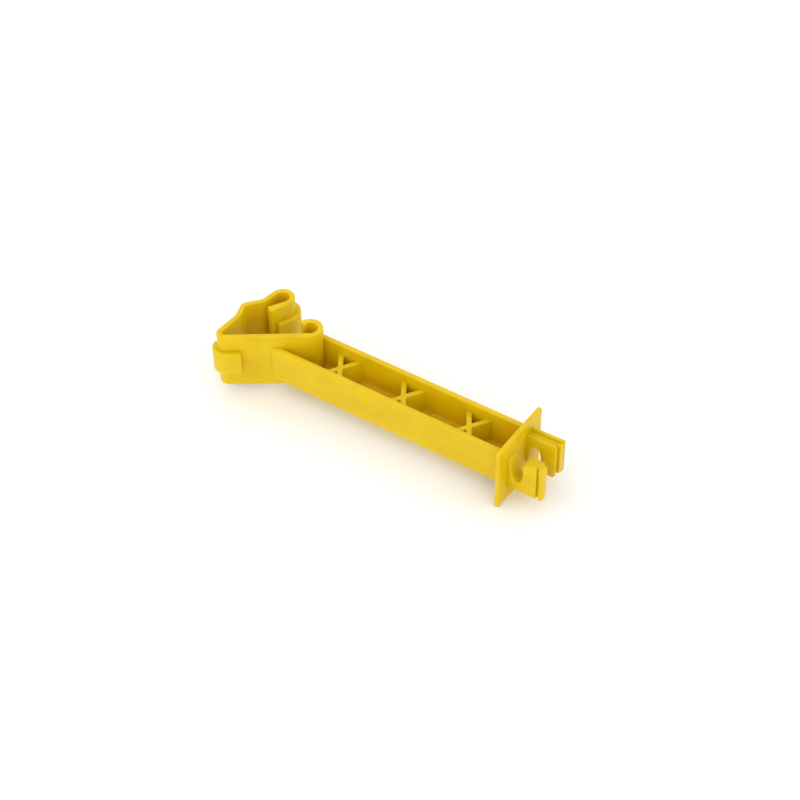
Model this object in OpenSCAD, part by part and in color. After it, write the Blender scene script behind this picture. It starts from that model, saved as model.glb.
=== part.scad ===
// Offset fence-wire insulator: a post clip, a channel arm, a shield plate and
// two wire hooks, moulded in one shot of polyethylene.
// Plan view: +X runs along the arm from the post clip to the wire hooks, the
// arm's axis is parallel to X, and +Z is up with the moulding lying flat.
// Inside the modules X is counted from the plate's back face and Y from the
// arm's axis; place() then moves everything into the part's own frame.

/* [Arm] */
// Outside width of the channel arm
arm_w = 21; // [19:0.5:24]
// Height of the channel arm
arm_h = 18.2; // [17:0.1:19]
// Height of the arm's underside above the resting plane
arm_lift = 7.7; // [6.5:0.1:8.5]
// Thickness of the arm's two side walls
arm_t = 2.6; // [2:0.1:3]
// Thickness of the arm's floor
floor_t = 2.3; // [1.6:0.1:3]

/* [Stiffening crosses] */
// Distance from one cross to the next
cross_pitch = 34; // [32:0.1:34.2]
// Distance from the plate's back face to the nearest cross
cross_first = 23.4; // [22:0.2:28]
// Angle between a cross leg and the arm's axis
cross_angle = 58; // [50:1:65]
// Thickness of a cross leg
cross_t = 2.2; // [1.6:0.1:2.8]
// Depth of the crosses' top edges below the arm's rim
cross_drop = 4.8; // [3:0.2:6]

/* [Post clip] */
// Height of the clip
clip_h = 28; // [26:0.1:30]
// Height of the clip's underside above the resting plane
clip_lift = 4.2; // [2.5:0.1:4.8]
// Thickness of the clip's front wall
front_t = 2.4; // [2:0.1:2.8]
// Thickness of the clip's back wall and lobes
back_t = 2.4; // [2:0.1:2.8]
// Angle of the clip's front wall to the arm
front_angle = 35; // [35:1:36]
// Outside radius of the corner that joins the front and back walls
corner_r = 4; // [3.6:0.1:4.4]
// Outside radius of the back lobe that wraps the post's edge
lobe_r = 5.8; // [5.6:0.1:6.1]
// Outside radius of the front lobe
hook_r = 6.1; // [5.9:0.1:6.4]
// How far the grip lugs stand out of the walls
lug_out = 2.4; // [1.5:0.1:2.8]
// Height of the grip lugs
lug_h = 11.8; // [8:0.2:14]

/* [Shield plate] */
// Width of the plate across the arm
plate_w = 35; // [31:0.2:38]
// Height of the plate
plate_h = 32.2; // [29:0.1:33]
// Thickness of the plate
plate_t = 2; // [1.4:0.1:2.6]
// Radius of the plate's corners
plate_r = 1.8; // [1:0.2:4]

/* [Wire hooks] */
// Reach of the near hook beyond the plate's back face
near_reach = 20; // [18.8:0.1:21]
// Reach of the far hook beyond the plate's back face
far_reach = 18.2; // [17.6:0.1:19]
// Width of each wire slot along the arm
slot_w = 6.6; // [5:0.1:6.8]
// Depth from the arm's rim to the bottom of the near wire slot
slot_depth = 13; // [11:0.1:13.6]
// Gap between a flexing piece and the piece that carries it
flex_gap = 0.3; // [0.2:0.05:0.4]

/* [Hidden] */

mould_yellow = [0.89, 0.78, 0.18];
round_fn = 48;
eps = 0.01;

// grip lugs: height above the clip's underside, and their lengths
lug_z = (clip_h - lug_h) / 2;
corner_lug_l = 7.6;
leg_lug_l = 7;
lobe_lug_turn = 110;
seam = 0.1;

// the front wall's outer line passes through the point where the arm's near wall
// meets it, and runs along the unit vector along_front
near_y = -arm_w / 2;
far_y = arm_w / 2;
joint_x = -121.9;
joint = [joint_x, near_y];
along_front = [cos(front_angle), sin(front_angle)];
into_clip = [-sin(front_angle), cos(front_angle)];
function on_front(s, depth = 0) = joint + s * along_front + depth * into_clip;

// corner where the front and back walls meet
corner_s = -20.1;
corner_c = on_front(corner_s, corner_r);
back_x = corner_c[0] - corner_r;

// front lobe: an arc that carries on from the front wall
hook_s = 17.6;
hook_c = on_front(hook_s, hook_r);
hook_start = front_angle - 90;
hook_end = 148;
lip_heading = hook_end + 90;
lip_l = 2.2;
lip_t = 3.3;

// back wall: the outside points from the corner to the lobe, then the lobe's arc
waist = [back_x + 0.6, -7.2];
stud_peak = [-146.9, 1.5];
neck = [-140.7, 8.9];
pocket_low = (waist + stud_peak) / 2;
pocket_high = (stud_peak + neck) / 2;
lobe_c = [-134.1, 15.1];
leg_heading = 250;
leg_l = 9.4;
leg_end_t = 3.8;
lobe_end = leg_heading + 90 - 360;
neck_to_lobe = lobe_c - neck;
neck_heading = atan2(neck_to_lobe[1], neck_to_lobe[0]) + asin(lobe_r / norm(neck_to_lobe));
lobe_start = neck_heading + 90;

// hooks
plate_x = 0.4;
hook_x = plate_x + plate_t + flex_gap;
block_x = hook_x + slot_w;
near_block_l = 6.8;
near_block_w = 7.2;
far_block_l = 7.9;
far_block_w = 5.9;
block_drop = 1.9;
near_strip_w = 2.6;
near_strip_rise = 1.3;
far_strip_w = 4.8;
strip_groove = 0.9;

// part frame: the origin is under the middle of the bounding box
x_low = corner_c[0] - corner_r - lug_out;
x_high = near_reach;
y_low = corner_c[1] - corner_r - lug_out;
y_high = lobe_c[1] + lobe_r + lug_out;
module place(lift = 0)
    translate([-(x_low + x_high) / 2, -(y_low + y_high) / 2, lift]) children();

// plan geometry helpers
function unit(v) = v / norm(v);
function left_of(v) = [-v[1], v[0]];
function miter(a, b, c, t) =
    let (n1 = left_of(unit(b - a)), n2 = left_of(unit(c - b)))
    b + t * (n1 + n2) / (1 + n1 * n2);
// the line t to the left of an open path
function beside(path, t) =
    [for (i = [0 : len(path) - 1])
        i == 0 ? path[0] + t * left_of(unit(path[1] - path[0]))
        : i == len(path) - 1 ? path[i] + t * left_of(unit(path[i] - path[i - 1]))
        : miter(path[i - 1], path[i], path[i + 1], t)];
function reversed(list) = [for (i = [len(list) - 1 : -1 : 0]) list[i]];
function on_arc(c, r, a) = c + r * [cos(a), sin(a)];

// an upright wall t thick on the left of an open path (t below 0: on its right)
module wall(path, t, h) {
    linear_extrude(h) polygon(concat(path, reversed(beside(path, t))));
}

// an upright curved wall, from angle a0 anticlockwise to a1
module arc_wall(c, r_out, t, a0, a1, h) {
    translate([c[0], c[1], 0]) rotate([0, 0, a0])
        rotate_extrude(angle = a1 - a0, $fn = 96) translate([r_out - t, 0]) square([t, h]);
}

// ---- post clip, fixed part ----

// straight wall that the post's flange lies against
module clip_front_wall() {
    color(mould_yellow) place(clip_lift)
        wall([on_front(corner_s), on_front(hook_s)], front_t, clip_h);
}

// rounded corner that takes one edge of the flange
module clip_corner() {
    color(mould_yellow) place(clip_lift)
        arc_wall(corner_c, corner_r, back_t, 180, 360 + hook_start, clip_h);
}

// rounded band that thickens the corner at mid-height
module corner_lug() {
    color(mould_yellow) place(clip_lift) translate([0, 0, lug_z]) {
        arc_wall(corner_c, corner_r + lug_out, lug_out, 180, 360 + hook_start, lug_h);
        wall([on_front(corner_s - seam, -lug_out), on_front(corner_s + corner_lug_l, -lug_out)],
             lug_out, lug_h);
    }
}

// round end of the front wall, curled back over the flange's other edge
module front_lobe() {
    color(mould_yellow) place(clip_lift)
        arc_wall(hook_c, hook_r, front_t, hook_start, hook_end, clip_h);
}

// thickened free end of the front lobe
module front_return_lip() {
    lip_start = on_arc(hook_c, hook_r, hook_end);
    color(mould_yellow) place(clip_lift)
        wall([lip_start, lip_start + lip_l * [cos(lip_heading), sin(lip_heading)]],
             lip_t, clip_h);
}

// ---- post clip, flexing jaw ----

// back wall between the corner and the stud pocket
module back_wall() {
    color(mould_yellow) place(clip_lift)
        wall([[back_x, corner_c[1] + flex_gap], waist, pocket_low], -back_t, clip_h);
}

// outward peak that clears the post's studs
module stud_pocket() {
    color(mould_yellow) place(clip_lift)
        wall([pocket_low, stud_peak, pocket_high], -back_t, clip_h);
}

// round lobe that wraps the post's edge
module back_lobe() {
    color(mould_yellow) place(clip_lift) {
        arc_wall(lobe_c, lobe_r, back_t, lobe_end, lobe_start, clip_h);
        wall([pocket_high, neck, on_arc(lobe_c, lobe_r, lobe_start)], -back_t, clip_h);
    }
}

// leg that comes back down from the lobe and thickens towards its free end
module back_return_leg() {
    down = [cos(leg_heading), sin(leg_heading)];
    leg_top = on_arc(lobe_c, lobe_r, lobe_end);
    color(mould_yellow) place(clip_lift) linear_extrude(clip_h)
        polygon([leg_top, leg_top + leg_l * down,
                 leg_top + leg_l * down - leg_end_t * left_of(down),
                 leg_top - back_t * left_of(down)]);
}

// rounded band that thickens the lobe's open side at mid-height
module lobe_lug() {
    color(mould_yellow) place(clip_lift) translate([0, 0, lug_z])
        arc_wall(lobe_c, lobe_r + lug_out, lug_out, lobe_end, lobe_end + lobe_lug_turn, lug_h);
}

// straight end of that band, along the return leg
module leg_lug() {
    leg_top = on_arc(lobe_c, lobe_r + lug_out, lobe_end);
    color(mould_yellow) place(clip_lift) translate([0, 0, lug_z])
        wall([leg_top, leg_top + leg_lug_l * [cos(leg_heading), sin(leg_heading)]],
             -lug_out, lug_h);
}

// ---- channel arm ----

// near side wall, cut to the clip's front wall at its end
module arm_near_wall() {
    color(mould_yellow) place(arm_lift)
        linear_extrude(arm_h) polygon([joint, [plate_x, near_y], [plate_x, near_y + arm_t],
            on_front(arm_t / sin(front_angle))]);
}

// far side wall, cut to the front lobe at its end
module arm_far_wall() {
    color(mould_yellow) place(arm_lift) difference() {
        translate([hook_c[0], far_y - arm_t, 0]) cube([plate_x - hook_c[0], arm_t, arm_h]);
        translate([hook_c[0], hook_c[1], -eps])
            cylinder(r = hook_r, h = arm_h + 2 * eps, $fn = 96);
    }
}

// channel floor between the side walls, cut to the clip at its end
module arm_floor() {
    side = far_y - arm_t;
    color(mould_yellow) place(arm_lift) linear_extrude(floor_t)
        difference() {
            polygon([on_front(arm_t / sin(front_angle)), [plate_x, -side], [plate_x, side],
                     [hook_c[0], side], on_front(hook_s)]);
            translate(hook_c) circle(r = hook_r, $fn = 96);
        }
}

// X-shaped rib that joins floor and walls
module cross(i) {
    side = far_y - arm_t;
    place(arm_lift + floor_t) translate([-cross_first - i * cross_pitch, 0, 0])
        linear_extrude(arm_h - floor_t - cross_drop) intersection() {
            square([arm_w, 2 * side], center = true);
            union() {
                for (a = [-cross_angle, cross_angle])
                    rotate([0, 0, a]) square([2 * arm_w, cross_t], center = true);
            }
        }
}
module cross_1() color(mould_yellow) cross(0);
module cross_2() color(mould_yellow) cross(1);
module cross_3() color(mould_yellow) cross(2);

// ---- shield plate ----

// rounded plate that lengthens the leakage path between wire and post
module shield_plate() {
    color(mould_yellow) place() translate([plate_x, 0, plate_h / 2]) rotate([90, 0, 90])
        linear_extrude(plate_t) union() {
            square([plate_w - 2 * plate_r, plate_h], center = true);
            square([plate_w, plate_h - 2 * plate_r], center = true);
            for (sx = [-1, 1], sy = [-1, 1])
                translate([sx * (plate_w / 2 - plate_r), sy * (plate_h / 2 - plate_r)])
                    circle(r = plate_r, $fn = round_fn);
        }
}

// ---- near wire hook: its slot is open at the top ----

// low bar that carries the hook block, with the rounded floor of the slot
module near_root_bar() {
    slot_floor = arm_h - slot_depth;
    color(mould_yellow) place(arm_lift) translate([hook_x, near_y, 0]) difference() {
        cube([slot_w, near_block_w, slot_floor + slot_w / 2]);
        translate([slot_w / 2, -eps, slot_floor + slot_w / 2]) rotate([-90, 0, 0])
            cylinder(d = slot_w, h = near_block_w + 2 * eps, $fn = round_fn);
    }
}

// thick block that keeps the wire in its slot
module near_hook_block() {
    color(mould_yellow) place(arm_lift) translate([block_x, near_y, 0])
        cube([near_block_l, near_block_w, arm_h - block_drop]);
}

// thin end strip that rises past the block, behind a shallow upright groove
module near_end_strip() {
    strip_l = near_reach - block_x - near_block_l;
    strip_h = arm_h + near_strip_rise;
    color(mould_yellow) place(arm_lift) translate([block_x + near_block_l, near_y, 0]) {
        translate([0, strip_groove, 0])
            cube([strip_groove, near_strip_w - strip_groove, strip_h]);
        translate([strip_groove, 0, 0]) cube([strip_l - strip_groove, near_strip_w, strip_h]);
    }
}

// ---- far wire hook: its slot is open at the bottom ----

// high bar that carries the hook block, with the rounded roof of the slot
module far_top_bar() {
    bar_h = arm_h - slot_depth + slot_w / 2;
    color(mould_yellow) place(arm_lift) translate([hook_x, far_y - far_block_w, arm_h - bar_h])
        difference() {
            cube([slot_w, far_block_w, bar_h]);
            translate([slot_w / 2, -eps, 0]) rotate([-90, 0, 0])
                cylinder(d = slot_w, h = far_block_w + 2 * eps, $fn = round_fn);
        }
}

// thick block that keeps the wire in its slot
module far_hook_block() {
    color(mould_yellow) place(arm_lift) translate([block_x, far_y - far_block_w, 0])
        cube([far_block_l, far_block_w, arm_h]);
}

// end strip stepped back from the block's inner face
module far_end_strip() {
    strip_x = block_x + far_block_l;
    color(mould_yellow) place(arm_lift) translate([strip_x, far_y - far_strip_w, 0])
        cube([far_reach - strip_x, far_strip_w, arm_h]);
}

clip_front_wall();
clip_corner();
corner_lug();
front_lobe();
front_return_lip();
back_wall();
stud_pocket();
back_lobe();
back_return_leg();
lobe_lug();
leg_lug();
arm_near_wall();
arm_far_wall();
arm_floor();
cross_1();
cross_2();
cross_3();
shield_plate();
near_root_bar();
near_hook_block();
near_end_strip();
far_top_bar();
far_hook_block();
far_end_strip();
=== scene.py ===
from math import cos, radians, sin, tan

import bmesh
import bpy
from mathutils import Matrix, Vector


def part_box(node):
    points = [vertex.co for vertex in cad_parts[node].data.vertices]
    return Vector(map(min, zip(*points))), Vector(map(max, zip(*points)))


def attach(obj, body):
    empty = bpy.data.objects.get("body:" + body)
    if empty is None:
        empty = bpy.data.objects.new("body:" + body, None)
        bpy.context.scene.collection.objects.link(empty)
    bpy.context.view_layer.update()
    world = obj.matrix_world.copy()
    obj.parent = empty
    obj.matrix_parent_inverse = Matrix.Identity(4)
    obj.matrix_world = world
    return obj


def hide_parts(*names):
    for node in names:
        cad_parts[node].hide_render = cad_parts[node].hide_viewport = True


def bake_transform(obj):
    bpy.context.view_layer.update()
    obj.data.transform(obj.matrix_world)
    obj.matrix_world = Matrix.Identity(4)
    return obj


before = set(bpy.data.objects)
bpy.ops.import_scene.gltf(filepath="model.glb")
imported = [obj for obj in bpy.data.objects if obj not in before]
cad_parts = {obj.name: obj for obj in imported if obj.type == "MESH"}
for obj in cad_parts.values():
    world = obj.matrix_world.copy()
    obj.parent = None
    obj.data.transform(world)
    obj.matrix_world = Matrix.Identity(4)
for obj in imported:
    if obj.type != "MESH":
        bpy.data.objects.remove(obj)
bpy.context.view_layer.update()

# ---- The bent strip of the post clip ----
# One band of polyethylene, 2.4 mm thick and 28 mm high, that runs from the leg
# round the back lobe, the stud pocket and the corner, along the front wall and
# round the front lobe to its lip. It springs open when the post goes in.
MM = 0.001
plate_low, plate_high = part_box("shield_plate")
wall_low, wall_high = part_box("clip_front_wall")

# the moulding is drawn from the plate's back face and the arm's axis
moulding_x = plate_low.x / MM - 0.4
moulding_y = (plate_low.y + plate_high.y) / 2 / MM
moulding_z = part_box("arm_floor")[0].z / MM

clip_z = wall_low.z / MM
clip_height = (wall_high.z - wall_low.z) / MM
strip_thickness = 2.4
front_slope = 35
front_foot = (-121.9, -10.5)
corner_centre = (-140.66, -18.75)
corner_radius = 4.0
front_lobe_centre = (-110.98, 4.59)
front_lobe_radius = 6.1
back_lobe_centre = (-134.1, 15.1)
back_lobe_radius = 5.8
leg_heading = 250
strip_rim = 0.62


def turned(centre, radius, angle):
    """Point on a round of the moulding, by its angle."""
    return (centre[0] + radius * cos(radians(angle)),
            centre[1] + radius * sin(radians(angle)))


def along_front(distance, depth=0.0):
    """Point on the front wall: distance along it from the arm, depth into the clip."""
    slope = radians(front_slope)
    return (front_foot[0] + distance * cos(slope) - depth * sin(slope),
            front_foot[1] + distance * sin(slope) + depth * cos(slope))


def new_piece(mesh_builder, name, finish, smooth_angle=38):
    """Turns a finished bmesh, in the moulding's millimetres, into a piece."""
    place = Matrix.Scale(MM, 4) @ Matrix.Translation((moulding_x, moulding_y, 0))
    bmesh.ops.transform(mesh_builder, matrix=place, verts=mesh_builder.verts[:])
    bmesh.ops.recalc_face_normals(mesh_builder, faces=mesh_builder.faces[:])
    mesh = bpy.data.meshes.new(name)
    mesh_builder.to_mesh(mesh)
    mesh_builder.free()
    mesh.shade_smooth()
    mesh.set_sharp_from_angle(angle=radians(smooth_angle))
    mesh.materials.append(finish)
    piece = bpy.data.objects.new(name, mesh)
    bpy.context.scene.collection.objects.link(piece)
    return piece


def walk(builder, start, moves, height):
    """Draws a wire path. A move is a point, a point with a radius that rounds the path
    there, or an arc as (centre, turn in degrees, steps)."""
    def go_to(point):
        ahead = builder.verts.new((point[0], point[1], height))
        builder.edges.new((tip, ahead))
        return ahead

    def swing(centre, turn, steps):
        swept = bmesh.ops.spin(builder, geom=[tip], cent=(centre[0], centre[1], height),
                               axis=(0, 0, 1), angle=turn, steps=steps)
        return swept["geom_last"][0]

    tip = builder.verts.new((start[0], start[1], height))
    for move, after in zip(moves, moves[1:] + [None]):
        if isinstance(move[0], tuple):
            tip = swing(move[0], radians(move[1]), move[2])
        elif len(move) == 2:
            tip = go_to(move)
        else:
            corner = Vector(move[:2])
            came = (corner - tip.co.xy).normalized()
            goes = (Vector(after[:2]) - corner).normalized()
            turn = came.angle_signed(goes) * -1
            radius = move[2]
            tip = go_to(corner - came * radius * tan(abs(turn) / 2))
            side = 1 if turn > 0 else -1
            centre = tip.co.xy + side * radius * Vector((-came.y, came.x))
            tip = swing(centre, turn, max(3, round(abs(turn) / radians(9))))
    return tip


def round_rims(builder, radius, segments=4, least=50):
    """Rounds every edge that is sharper than the least angle."""
    bmesh.ops.recalc_face_normals(builder, faces=builder.faces[:])
    sharp = [e for e in builder.edges
             if e.is_manifold and e.calc_face_angle(0) > radians(least)]
    bmesh.ops.bevel(builder, geom=sharp, offset=radius, offset_type="OFFSET",
                    segments=segments, profile=0.5, affect="EDGES", clamp_overlap=True,
                    material=-1)


def thick_band(builder, thickness, height):
    """Raises a wire path into a wall and gives it thickness on its left."""
    raised = bmesh.ops.extrude_edge_only(builder, edges=builder.edges[:])
    risen = [g for g in raised["geom"] if isinstance(g, bmesh.types.BMVert)]
    bmesh.ops.translate(builder, vec=(0, 0, height), verts=risen)
    bmesh.ops.solidify(builder, geom=builder.faces[:], thickness=-thickness)


# Yellow high-density polyethylene with UV stabiliser, injection moulded in a
# vapour-blasted steel mould: waxy, semi-gloss, a little light goes in, and the
# pigment lies in faint flow streaks along the arm.
def linear(hex_colour):
    """sRGB hex to the linear colour that the shader wants."""
    parts = [int(hex_colour[i:i + 2], 16) / 255 for i in (1, 3, 5)]
    return tuple(c / 12.92 if c <= 0.04045 else ((c + 0.055) / 1.055) ** 2.4
                 for c in parts) + (1.0,)


def node(tree, kind, settings=None, **links):
    """Adds one node, sets its properties and values, and links its inputs."""
    added = tree.nodes.new(kind)
    for key, value in (settings or {}).items():
        if isinstance(key, str) and hasattr(added, key):
            setattr(added, key, value)
        else:
            added.inputs[key].default_value = value
    for key, source in links.items():
        tree.links.new(source, added.inputs[key.replace("_", " ")])
    return added


def moulded_polyethylene(name, deep, pale, scuff):
    material = bpy.data.materials.new(name)
    material.use_nodes = True
    tree = material.node_tree
    tree.nodes.clear()
    place = node(tree, "ShaderNodeTexCoord").outputs["Object"]

    # flow streaks, about 5 mm across and 40 mm long, along the arm
    stretched = node(tree, "ShaderNodeMapping", {"Scale": (0.14, 1.0, 0.8)}, Vector=place)
    streaks = node(tree, "ShaderNodeTexNoise",
                   {"Scale": 190.0, "Detail": 3.0, "Roughness": 0.55, "Distortion": 0.4},
                   Vector=stretched.outputs["Vector"])
    # cloudy pigment, about 12 mm across
    clouds = node(tree, "ShaderNodeTexNoise", {"Scale": 85.0, "Detail": 2.0}, Vector=place)
    both = node(tree, "ShaderNodeMath", {"operation": "ADD"})
    tree.links.new(streaks.outputs["Fac"], both.inputs[0])
    tree.links.new(clouds.outputs["Fac"], both.inputs[1])
    half = node(tree, "ShaderNodeMath", {"operation": "MULTIPLY", 1: 0.5})
    tree.links.new(both.outputs["Value"], half.inputs[0])
    pigment = node(tree, "ShaderNodeValToRGB", {}, Fac=half.outputs["Value"])
    pigment.color_ramp.elements[0].position = 0.38
    pigment.color_ramp.elements[0].color = linear(deep)
    pigment.color_ramp.elements[1].position = 0.62
    pigment.color_ramp.elements[1].color = linear(pale)

    # handling scuffs: thin pale marks, a millimetre or two long
    scratched = node(tree, "ShaderNodeMapping",
                     {"Scale": (0.25, 1.0, 0.35), "Rotation": (0.3, 0.5, 0.4)}, Vector=place)
    marks = node(tree, "ShaderNodeTexNoise",
                 {"Scale": 1500.0, "Detail": 2.0, "Roughness": 0.6},
                 Vector=scratched.outputs["Vector"])
    patches = node(tree, "ShaderNodeTexNoise", {"Scale": 120.0, "Detail": 3.0}, Vector=place)
    rare = node(tree, "ShaderNodeMath", {"operation": "MULTIPLY"})
    tree.links.new(marks.outputs["Fac"], rare.inputs[0])
    tree.links.new(patches.outputs["Fac"], rare.inputs[1])
    scuffs = node(tree, "ShaderNodeMapRange",
                  {"From Min": 0.36, "From Max": 0.46, "To Min": 0.0, "To Max": 0.35},
                  Value=rare.outputs["Value"])
    colour = node(tree, "ShaderNodeMix", {"data_type": "RGBA"})
    tree.links.new(scuffs.outputs["Result"], colour.inputs[0])
    tree.links.new(pigment.outputs["Color"], colour.inputs[6])
    colour.inputs[7].default_value = linear(scuff)

    # blasted mould texture, drawn at 0.3 mm so that it shows, over slow waviness
    grain = node(tree, "ShaderNodeTexNoise", {"Scale": 3300.0, "Detail": 2.0}, Vector=place)
    waves = node(tree, "ShaderNodeTexNoise", {"Scale": 140.0, "Detail": 1.0}, Vector=place)
    fine = node(tree, "ShaderNodeBump", {"Strength": 0.10, "Distance": 0.0001},
                Height=grain.outputs["Fac"])
    relief = node(tree, "ShaderNodeBump", {"Strength": 0.25, "Distance": 0.0005},
                  Height=waves.outputs["Fac"], Normal=fine.outputs["Normal"])
    dull = node(tree, "ShaderNodeMapRange",
                {"From Min": 0.3, "From Max": 0.7, "To Min": 0.36, "To Max": 0.48},
                Value=clouds.outputs["Fac"])
    shader = node(tree, "ShaderNodeBsdfPrincipled",
                  {"IOR": 1.46, "Specular IOR Level": 0.26, "Subsurface Weight": 0.35,
                   "Subsurface Scale": 0.004, "Subsurface Radius": (1.0, 0.65, 0.12)},
                  Roughness=dull.outputs["Result"], Normal=relief.outputs["Normal"])
    tree.links.new(colour.outputs[2], shader.inputs["Base Color"])
    node(tree, "ShaderNodeOutputMaterial", {}, Surface=shader.outputs["BSDF"])
    return material


yellow = moulded_polyethylene("yellow_polyethylene", "#D4B402", "#DDBD08", "#E4CE58")

leg_top = turned(back_lobe_centre, back_lobe_radius, leg_heading + 90)
leg_length = 9.4
leg_foot = turned(leg_top, leg_length, leg_heading)
neck = (-140.7, 8.9, 4.5)
stud_peak = (-146.9, 1.5, 3.4)
waist = (-144.06, -7.2, 6.0)
lip_root = turned(front_lobe_centre, front_lobe_radius, 148)
lip_heading = 238
lip_length = 2.2
lip_end = turned(lip_root, lip_length, lip_heading)

strip = bmesh.new()
walk(strip, leg_foot, [turned(leg_top, 5.0, leg_heading), leg_top,
                       (back_lobe_centre, 193.04, 44), neck, stud_peak, waist,
                       (-144.2, -10.0), (-144.32, -12.3), (-144.44, -14.6),
                       (-144.55, -16.8), (-144.66, -18.75),
                       (corner_centre, 125, 20), along_front(-8.0), along_front(4.0),
                       along_front(17.6), (front_lobe_centre, 203, 42), lip_end], clip_z)
thick_band(strip, strip_thickness, clip_height)
# the leg and the lip thicken on their inner side towards their free ends
free_ends = ((leg_top, leg_heading, -1, leg_length, 0.0, 1.4),
             (lip_root, lip_heading, 1, lip_length, 0.7, 1.0))
for root, heading, side, length, grow_root, grow_end in free_ends:
    ahead = Vector((cos(radians(heading)), sin(radians(heading))))
    inward = Vector((-ahead.y, ahead.x)) * side
    for v in strip.verts:
        reach = (v.co.xy - Vector(root)).dot(ahead) / length
        depth = (v.co.xy - Vector(root)).dot(inward)
        if -0.05 < reach < 1.05 and 0.5 * strip_thickness < depth < 1.5 * strip_thickness:
            v.co.xy += inward * (grow_root + (grow_end - grow_root) * reach)
round_rims(strip, strip_rim)
clip_strip = new_piece(strip, "clip_strip", yellow)
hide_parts("clip_front_wall", "clip_corner", "front_lobe", "front_return_lip",
            "back_wall", "stud_pocket", "back_lobe", "back_return_leg")
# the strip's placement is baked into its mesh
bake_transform(clip_strip)

# ---- Grip lugs ----
# Bands that stand 2.4 mm proud of the clip at mid-height, one round the corner and
# one round the back lobe and down its leg. They are moulded on, with soft edges, and
# the corner band's end has a round lower corner.
lug_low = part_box("corner_lug")[0].z / MM
lug_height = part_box("corner_lug")[1].z / MM - lug_low
lug_stand = 2.4
lug_root = 1.2


def cut_end_round(band, end, heading, radius):
    """Cuts the lower corner of a band's end to a round of the radius."""
    ahead = Vector((cos(radians(heading)), sin(radians(heading)), 0))
    middle = Vector((end[0], end[1], lug_low)) - ahead * radius + Vector((0, 0, radius))
    for lean in (15, 37, 53, 75):
        outward = ahead * cos(radians(lean)) - Vector((0, 0, sin(radians(lean))))
        cut = bmesh.ops.bisect_plane(
            band, geom=band.verts[:] + band.edges[:] + band.faces[:], dist=0.00001,
            plane_co=middle + outward * radius, plane_no=outward, clear_outer=True)
        edges = [g for g in cut["geom_cut"] if isinstance(g, bmesh.types.BMEdge)]
        bmesh.ops.holes_fill(band, edges=edges, sides=0)


def lug_band(start, moves, name, finish, round_end=None):
    """A band that follows a path outside the wall, with its root inside the wall."""
    band = bmesh.new()
    walk(band, start, moves, lug_low)
    thick_band(band, lug_stand + lug_root, lug_height)
    if round_end:
        cut_end_round(band, moves[-1], *round_end)
    round_rims(band, 0.95, 4)
    return new_piece(band, name, finish)


around_corner = corner_radius + lug_stand
corner_band = lug_band(turned(corner_centre, around_corner, 180),
                       [(corner_centre, 125, 24), along_front(-13.3, -lug_stand)],
                       "corner_band", yellow, round_end=(front_slope, 2.8))
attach(corner_band, "moulding")
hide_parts("corner_lug")

around_lobe = back_lobe_radius + lug_stand
band_turn = turned(back_lobe_centre, around_lobe, leg_heading + 90)
lobe_band = lug_band(turned(band_turn, 7.0, leg_heading),
                     [band_turn, (back_lobe_centre, 110, 30)], "lobe_band", yellow)
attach(lobe_band, "back_jaw")
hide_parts("lobe_lug", "leg_lug")

# ---- Channel arm ----
# A U-section arm, 21 mm wide and 18.2 mm high, open at the top so that the mould
# draws out of it. Its end runs into the clip's front wall and front lobe.
arm_half = 10.5
arm_bottom = moulding_z
arm_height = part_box("arm_near_wall")[1].z / MM - arm_bottom
side_wall = 2.6
floor_thickness = 2.3
plate_middle = 1.4


def face_from(builder, corners):
    """One face through the corners, in order."""
    return builder.faces.new([builder.verts.new(c) for c in corners])


def round_corners(builder, wanted, radius, segments=5):
    """Rounds the flat face's corners that pass the test."""
    chosen = [v for v in builder.verts if wanted(v.co)]
    bmesh.ops.bevel(builder, geom=chosen, offset=radius, offset_type="OFFSET",
                    segments=segments, profile=0.5, affect="VERTICES", material=-1)


def draw_out(builder, vector):
    """Extrudes the flat face into a solid."""
    grown = bmesh.ops.extrude_face_region(builder, geom=builder.faces[:])
    risen = [g for g in grown["geom"] if isinstance(g, bmesh.types.BMVert)]
    bmesh.ops.translate(builder, vec=vector, verts=risen)


def clip_side_of_arm(y):
    """Where the arm's end lies inside the clip's wall, at a distance y from the axis."""
    mid_radius = front_lobe_radius - strip_thickness / 2
    over = y - front_lobe_centre[1]
    slope = radians(front_slope)
    on_wall = (front_foot[0] + (y + arm_half) / tan(slope)
               - strip_thickness / 2 / sin(slope))
    if over < -mid_radius * cos(slope):
        return on_wall
    return front_lobe_centre[0] + max(0.0, mid_radius ** 2 - over ** 2) ** 0.5


arm = bmesh.new()
inner = arm_half - side_wall
top = arm_bottom + arm_height
face_from(arm, [(0, -arm_half, top), (0, -arm_half, arm_bottom), (0, arm_half, arm_bottom),
                (0, arm_half, top), (0, inner, top), (0, inner, arm_bottom + floor_thickness),
                (0, -inner, arm_bottom + floor_thickness), (0, -inner, top)])
round_corners(arm, lambda c: c.z > top - 0.1, 0.7, 5)
round_corners(arm, lambda c: c.z < arm_bottom + 0.1, 0.7, 5)
round_corners(arm, lambda c: abs(c.z - arm_bottom - floor_thickness) < 0.05, 1.5, 5)
# drawn out roughly, then each end is moved to where it meets the plate or the clip
rough_length = 100
draw_out(arm, (-rough_length, 0, 0))
for v in arm.verts:
    at_plate = v.co.x > -rough_length / 2
    v.co.x = plate_middle if at_plate else clip_side_of_arm(v.co.y)
channel_arm = new_piece(arm, "channel_arm", yellow)
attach(channel_arm, "moulding")
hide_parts("arm_near_wall", "arm_far_wall", "arm_floor")

# ---- Stiffening crosses ----
# Three X-shaped ribs, moulded with the arm, that tie its walls and floor together.
# Their tops lie below the arm's rim, and they flare where they meet the walls.
cross_tilt = radians(58)
cross_half = 1.1
cross_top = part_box("cross_1")[1].z / MM


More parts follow.
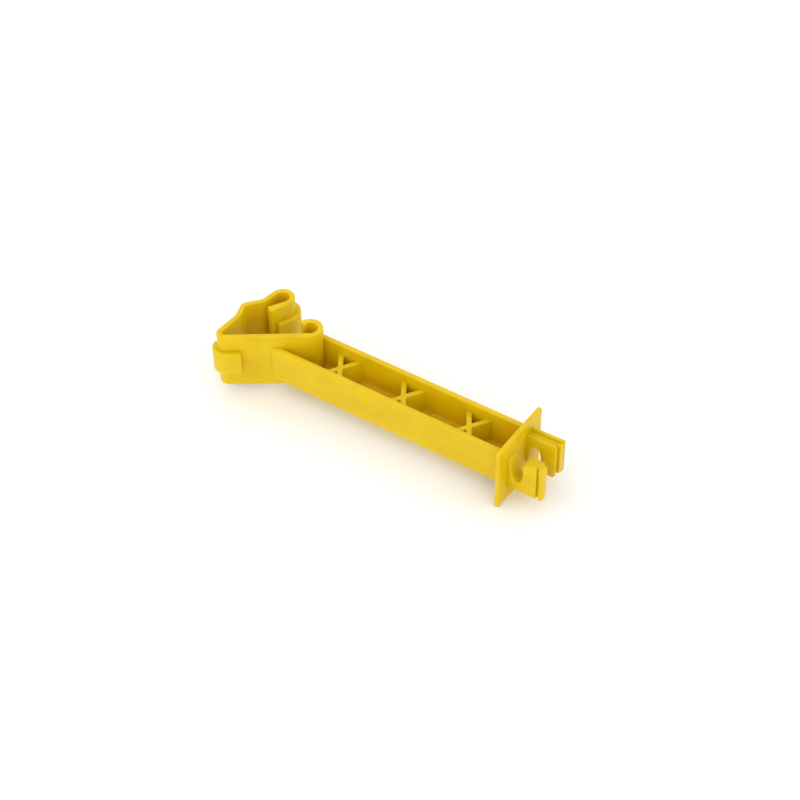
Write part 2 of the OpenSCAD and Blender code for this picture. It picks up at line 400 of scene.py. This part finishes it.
def stiffening_cross(middle, name, finish):
    rib = bmesh.new()
    side = cross_half / sin(cross_tilt)
    crest = cross_half / cos(cross_tilt)
    lean = inner / tan(cross_tilt)
    foot = 0.9
    wall = inner + 0.03
    quarter = [(side, 0), (lean + side, wall), (lean + side + foot, wall),
               (lean + side + foot, wall + 0.6), (lean - side - foot, wall + 0.6),
               (lean - side - foot, wall), (lean - side, wall), (0, crest)]
    outline = quarter + [(-x, y) for x, y in quarter[-2::-1]]
    outline += [(x, -y) for x, y in outline[-2:0:-1]]
    face_from(rib, [(x + middle, y, arm_bottom + 1.5) for x, y in outline])
    round_corners(rib, lambda c: abs(abs(c.y) - wall) < 0.02
                  and abs(abs(c.x - middle) - lean) < side + 0.1, 0.8, 4)
    round_corners(rib, lambda c: abs(c.y) < 0.05 or abs(c.x - middle) < 0.05, 0.7, 4)
    draw_out(rib, (0, 0, cross_top - arm_bottom - 1.5))
    rims = [e for e in rib.edges if all(v.co.z > cross_top - 0.01 for v in e.verts)]
    bmesh.ops.recalc_face_normals(rib, faces=rib.faces[:])
    bmesh.ops.bevel(rib, geom=rims, offset=0.45, offset_type="OFFSET", segments=3,
                    profile=0.5, affect="EDGES", clamp_overlap=True, material=-1)
    return new_piece(rib, name, finish)


cross_middles = (-23.4, -57.4, -91.4)
for count, middle in enumerate(cross_middles, start=1):
    rib_piece = stiffening_cross(middle, f"stiffening_cross_{count}", yellow)
    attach(rib_piece, "moulding")
    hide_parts(f"cross_{count}")

# ---- Shield plate ----
# A nearly square plate, 35 mm wide, that keeps rain from bridging wire and post. It
# is moulded with the arm, is even in thickness, and has a round rim.
plate_back = plate_low.x / MM - moulding_x
plate_front = plate_high.x / MM - moulding_x
plate_half = (plate_high.y - plate_low.y) / 2 / MM
plate_height = plate_high.z / MM
plate = bmesh.new()
face_from(plate, [(plate_back, -plate_half, 0), (plate_back, plate_half, 0),
                  (plate_back, plate_half, plate_height),
                  (plate_back, -plate_half, plate_height)])
round_corners(plate, lambda c: True, 1.6, 6)
draw_out(plate, (plate_front - plate_back, 0, 0))
round_rims(plate, 0.8, 4, 60)
shield = new_piece(plate, "shield", yellow)
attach(shield, "moulding")
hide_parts("shield_plate")

# ---- Near wire hook ----
# A U-shaped hook that is open at the top: a thin web on the plate, a low root and
# a thick block, with a thin end strip behind an upright groove.
near_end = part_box("near_end_strip")[1].x / MM - moulding_x
near_in = -3.3


def side_outline(builder, y, outline):
    """A flat face in the X-Z plane, at a distance y from the arm's axis."""
    face_from(builder, [(x, y, z) for x, z in outline])


hook = bmesh.new()
side_outline(hook, -arm_half, [(1.2, arm_bottom), (16.4, arm_bottom), (16.4, 25.6),
                               (15.4, 25.4), (9.9, 23.9), (9.7, 17.5), (8.9, 13.2),
                               (5.7, 12.4), (4.5, 17.0), (3.5, 23.2), (1.2, 24.0)])
round_corners(hook, lambda c: abs(c.x - 8.9) < 0.1 or abs(c.x - 5.7) < 0.1, 1.6, 6)
round_corners(hook, lambda c: abs(c.x - 3.5) < 0.1 or abs(c.x - 9.9) < 0.1, 0.6, 4)
draw_out(hook, (0, near_in + arm_half, 0))
for v in hook.verts:
    if v.co.z > 23.2 and v.co.x > 9 and v.co.y > near_in - 1:
        v.co.z -= (v.co.x - 9) * 0.24
round_rims(hook, 0.45, 3, 40)
near_hook = new_piece(hook, "near_hook", yellow)
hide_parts("near_root_bar", "near_hook_block")
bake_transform(near_hook)

strip_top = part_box("near_end_strip")[1].z / MM
end_strip = bmesh.new()
near_strip_in = -7.6
side_outline(end_strip, -arm_half,
             [(17.2, arm_bottom + 0.3), (near_end - 0.5, arm_bottom + 0.3),
              (near_end - 0.1, arm_bottom + 3.0), (near_end, strip_top - 0.5),
              (near_end - 0.6, strip_top), (17.3, strip_top - 0.9), (17.4, 21.0), (17.8, 14.5)])
draw_out(end_strip, (0, near_strip_in + arm_half, 0))
round_rims(end_strip, 0.35, 3, 40)
near_strip = new_piece(end_strip, "near_strip", yellow)
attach(near_strip, "near_hook")
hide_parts("near_end_strip")
# the web at the bottom of the groove joins the strip to the block
web = bmesh.new()
web_out, web_in = -arm_half + 1.2, -7.8
side_outline(web, web_out, [(16.0, arm_bottom + 0.6), (18.4, arm_bottom + 0.6),
                            (18.4, 25.4), (16.0, 25.2)])
draw_out(web, (0, web_in - web_out, 0))
near_web = new_piece(web, "near_strip_web", yellow)
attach(near_web, "near_hook")

# ---- Far wire hook ----
# The same hook the other way up, open at the bottom: a high root, a block whose top
# lies a little below the outer wall, and an end strip behind an upright groove. It is
# built as three layers that overlap, as the moulding steps back twice.
far_end_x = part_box("far_end_strip")[1].x / MM - moulding_x
far_in = 4.6
far_slot = [(3.5, 10.2), (4.5, 16.6), (5.7, 21.0), (8.9, 20.2), (9.7, 16.0)]


def far_layer(y_from, y_to, reach, top_near, top_far, name, finish, rim=0.4):
    """One layer of the far hook, from the plate out to its reach."""
    layer = bmesh.new()
    side_outline(layer, y_from, [(1.2, top_near), (1.2, 9.6)] + far_slot
                 + [(9.6, 8.8), (10.6, arm_bottom), (reach - 0.9, arm_bottom),
                    (reach, 9.4), (reach, top_far)])
    round_corners(layer, lambda c: abs(c.x - 8.9) < 0.1 or abs(c.x - 5.7) < 0.1, 1.6, 6)
    round_corners(layer, lambda c: c.z < 9.2, 0.6, 4)
    draw_out(layer, (0, y_to - y_from, 0))
    round_rims(layer, rim, 3, 40)
    made = new_piece(layer, name, finish)
    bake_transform(made)
    return made


far_hook = far_layer(far_in, 5.7, 17.1, 25.9, 25.9, "far_hook_face", yellow, 0.35)
far_layer(5.3, 9.6, 16.0, 25.2, 25.2, "far_hook_core", yellow)
far_layer(9.1, arm_half, far_end_x, 26.0, 26.6, "far_hook_wall", yellow)
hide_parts("far_top_bar", "far_hook_block")

end_strip = bmesh.new()
far_strip_in, far_strip_out = 6.7, arm_half - 0.1
side_outline(end_strip, far_strip_in, [(15.5, 9.4), (far_end_x - 0.4, 9.4), (far_end_x, 11.0),
                                       (far_end_x, 25.9), (15.5, 25.2)])
draw_out(end_strip, (0, far_strip_out - far_strip_in, 0))
round_rims(end_strip, 0.35, 3, 40)
far_strip = new_piece(end_strip, "far_strip", yellow)
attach(far_strip, "far_hook")
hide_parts("far_end_strip")

# ---- Floor, lights and camera ----
# A pale studio floor, soft lamps and the camera, as for a catalogue picture.
sweep = bmesh.new()
bmesh.ops.create_grid(sweep, x_segments=1, y_segments=1, size=6.0)
floor_mesh = bpy.data.meshes.new("studio_floor")
sweep.to_mesh(floor_mesh)
sweep.free()
studio_floor = bpy.data.objects.new("studio_floor", floor_mesh)
bpy.context.scene.collection.objects.link(studio_floor)
floor_paint = bpy.data.materials.new("pale_floor")
floor_paint.use_nodes = True
floor_shader = floor_paint.node_tree.nodes["Principled BSDF"]
floor_shader.inputs["Base Color"].default_value = linear("#FBFBFB")
floor_shader.inputs["Roughness"].default_value = 0.9
floor_mesh.materials.append(floor_paint)

bpy.context.scene.view_settings.view_transform = "Standard"
room = bpy.data.worlds.new("studio")
room.use_nodes = True
room_light = room.node_tree.nodes["Background"]
room_light.inputs["Color"].default_value = (1.0, 1.0, 1.0, 1.0)
room_light.inputs["Strength"].default_value = 1.08
bpy.context.scene.world = room


def soft_lamp(name, place, aim, width, power):
    lamp = bpy.data.lights.new(name, "AREA")
    lamp.shape = "SQUARE"
    lamp.size = width
    lamp.energy = power
    stand = bpy.data.objects.new(name, lamp)
    stand.location = place
    stand.rotation_euler = (Vector(aim) - Vector(place)).to_track_quat("-Z", "Y").to_euler()
    bpy.context.scene.collection.objects.link(stand)


soft_lamp("key_lamp", (-0.55, -0.88, 0.64), (0, 0, 0), 0.45, 1.6)
soft_lamp("fill_lamp", (0.95, -0.55, 0.55), (0, 0, 0), 0.7, 1.6)

lens = bpy.data.cameras.new("camera")
lens.sensor_width = 36
lens.lens = 79.586
lens.clip_start = 0.01
camera = bpy.data.objects.new("camera", lens)
right = Vector((0.82885565, 0.55939821, -0.00848275))
up = Vector((-0.37693551, 0.56957818, 0.73041106))
back = right.cross(up)
camera.matrix_world = Matrix.Translation((0.3255, -0.46691, 0.54862)) @ Matrix(
    (right, up, back)).transposed().to_4x4()
bpy.context.scene.collection.objects.link(camera)
bpy.context.scene.camera = camera
